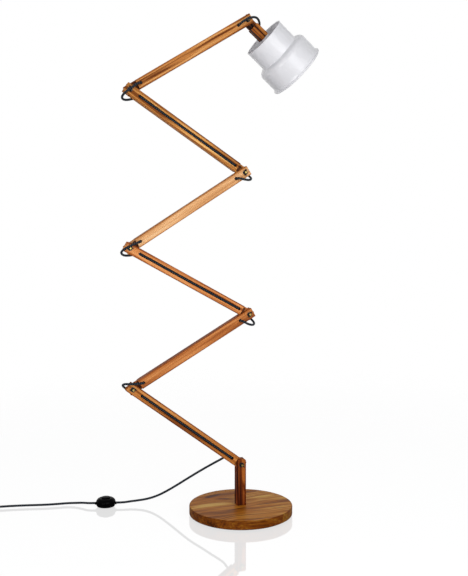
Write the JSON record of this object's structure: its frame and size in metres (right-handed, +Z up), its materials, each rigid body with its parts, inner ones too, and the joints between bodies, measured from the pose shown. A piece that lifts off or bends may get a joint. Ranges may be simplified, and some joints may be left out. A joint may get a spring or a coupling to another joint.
{
  "type": "wooden zig-zag floor lamp",
  "caption": "Floor lamp with a zig-zag stem of hinged wooden arms clamped by wing nuts, a round weighted base, a stepped enamel shade and a fabric cord with a foot switch.",
  "frame": {"origin": "on the floor under the middle of the round base", "axes": "+Z up, +X to the right along the plane of the zig-zag, +Y from the wing nuts' side to the bolt heads' side"},
  "size_m": [1.0345, 0.4033, 1.4313],
  "materials": {
    "base_wood": "satin",
    "post_wood": "satin",
    "arm_wood_brown": "satin",
    "arm_wood_red": "satin",
    "arm_wood_orange": "satin",
    "arm_wood_teak": "satin",
    "neck_wood": "satin",
    "ballast_steel": "matte",
    "zinc_steel": "satin",
    "felt": "matte",
    "brass": "polished",
    "black_steel": "satin",
    "white_enamel": "gloss",
    "holder_plastic": "gloss",
    "opal_glass": "gloss",
    "cord_fabric": "matte",
    "switch_plastic": "gloss"
  },
  "bodies": {
    "base": {"base_disc": "base_wood", "ballast_plate": "ballast_steel", "ballast_screws": "zinc_steel", "base_felt": "felt", "post": "post_wood", "post_insert": "brass", "post_bolt": "zinc_steel", "hinge_bolt_1": "brass", "cord_lead": "cord_fabric", "cord_tail": "cord_fabric", "cord_coil": "cord_fabric", "switch_base": "switch_plastic", "switch_cover": "switch_plastic", "plug_body": "switch_plastic", "plug_pins": "brass"},
    "link_1": {"arm_1": "arm_wood_brown", "arm_cable_1": "cord_fabric", "hinge_bolt_2": "brass", "cable_loop_2": "cord_fabric"},
    "link_2": {"arm_2": "arm_wood_red", "arm_cable_2": "cord_fabric", "hinge_bolt_3": "brass", "cable_loop_3": "cord_fabric"},
    "link_3": {"arm_3": "arm_wood_orange", "arm_cable_3": "cord_fabric", "hinge_bolt_4": "brass", "cable_loop_4": "cord_fabric"},
    "link_4": {"arm_4": "arm_wood_orange", "arm_cable_4": "cord_fabric", "hinge_bolt_5": "brass", "cable_loop_5": "cord_fabric"},
    "link_5": {"arm_5": "arm_wood_orange", "arm_cable_5": "cord_fabric", "hinge_bolt_6": "brass", "cable_loop_6": "cord_fabric"},
    "link_6": {"arm_6": "arm_wood_teak", "arm_cable_6": "cord_fabric", "hinge_bolt_7": "brass", "cable_loop_7": "cord_fabric"},
    "head": {"neck": "neck_wood", "neck_cable": "cord_fabric", "socket_collar": "white_enamel", "holder_nipple": "brass", "shade_bridge": "white_enamel", "shade": "white_enamel", "lamp_holder": "holder_plastic", "holder_sleeve": "brass", "bulb_cap": "zinc_steel", "bulb_glass": "opal_glass"},
    "nut_1": {"wing_nut_1": "black_steel"},
    "nut_2": {"wing_nut_2": "black_steel"},
    "nut_3": {"wing_nut_3": "black_steel"},
    "nut_4": {"wing_nut_4": "black_steel"},
    "nut_5": {"wing_nut_5": "black_steel"},
    "nut_6": {"wing_nut_6": "black_steel"},
    "nut_7": {"wing_nut_7": "black_steel"},
    "button": {"switch_button": "switch_plastic"}
  },
  "joints": [
    {"name": "arm_joint_1", "type": "hinge", "parent": "base", "child": "link_1", "pos_m": [-0.0015, 0, 0.147], "axis": [0, 1, 0], "range_deg": [-30, 53.2], "deforming": ["cord_lead"]},
    {"name": "arm_joint_2", "type": "hinge", "parent": "link_1", "child": "link_2", "pos_m": [-0.31619, 0, 0.38242], "axis": [0, -1, 0], "range_deg": [-8.5, 112.5], "deforming": ["cable_loop_2"]},
    {"name": "arm_joint_3", "type": "hinge", "parent": "link_2", "child": "link_3", "pos_m": [0.02174, 0, 0.58306], "axis": [0, 1, 0], "range_deg": [-0.8, 120.2], "deforming": ["cable_loop_3"]},
    {"name": "arm_joint_4", "type": "hinge", "parent": "link_3", "child": "link_4", "pos_m": [-0.32166, 0, 0.77419], "axis": [0, -1, 0], "range_deg": [-2.9, 118.1], "deforming": ["cable_loop_4"]},
    {"name": "arm_joint_5", "type": "hinge", "parent": "link_4", "child": "link_5", "pos_m": [0.00869, 0, 0.98708], "axis": [0, 1, 0], "range_deg": [-7.6, 113.4], "deforming": ["cable_loop_5"]},
    {"name": "arm_joint_6", "type": "hinge", "parent": "link_5", "child": "link_6", "pos_m": [-0.31789, 0, 1.20571], "axis": [0, -1, 0], "range_deg": [-6.6, 114.4], "deforming": ["cable_loop_6"]},
    {"name": "head_joint", "type": "hinge", "parent": "link_6", "child": "head", "pos_m": [0.01612, 0, 1.4128], "axis": [0, -1, 0], "range_deg": [-45, 92], "deforming": ["cable_loop_7"]},
    {"name": "wing_nut_1_turn", "type": "hinge", "parent": "base", "child": "nut_1", "pos_m": [-0.0015, -0.0185, 0.147], "axis": [0, -1, 0], "continuous": true},
    {"name": "wing_nut_2_turn", "type": "hinge", "parent": "link_1", "child": "nut_2", "pos_m": [-0.31619, -0.0185, 0.38242], "axis": [0, -1, 0], "continuous": true},
    {"name": "wing_nut_3_turn", "type": "hinge", "parent": "link_2", "child": "nut_3", "pos_m": [0.02174, -0.0185, 0.58306], "axis": [0, -1, 0], "continuous": true},
    {"name": "wing_nut_4_turn", "type": "hinge", "parent": "link_3", "child": "nut_4", "pos_m": [-0.32166, -0.0185, 0.77419], "axis": [0, -1, 0], "continuous": true},
    {"name": "wing_nut_5_turn", "type": "hinge", "parent": "link_4", "child": "nut_5", "pos_m": [0.00869, -0.0185, 0.98708], "axis": [0, -1, 0], "continuous": true},
    {"name": "wing_nut_6_turn", "type": "hinge", "parent": "link_5", "child": "nut_6", "pos_m": [-0.31789, -0.0185, 1.20571], "axis": [0, -1, 0], "continuous": true},
    {"name": "wing_nut_7_turn", "type": "hinge", "parent": "link_6", "child": "nut_7", "pos_m": [0.01612, -0.0185, 1.4128], "axis": [0, -1, 0], "continuous": true},
    {"name": "button_press", "type": "slide", "parent": "base", "child": "button", "axis": [0, 0, -1], "range_m": [0, 0.003], "stiffness_N_per_m": 400, "springref_m": -0.001}
  ]
}
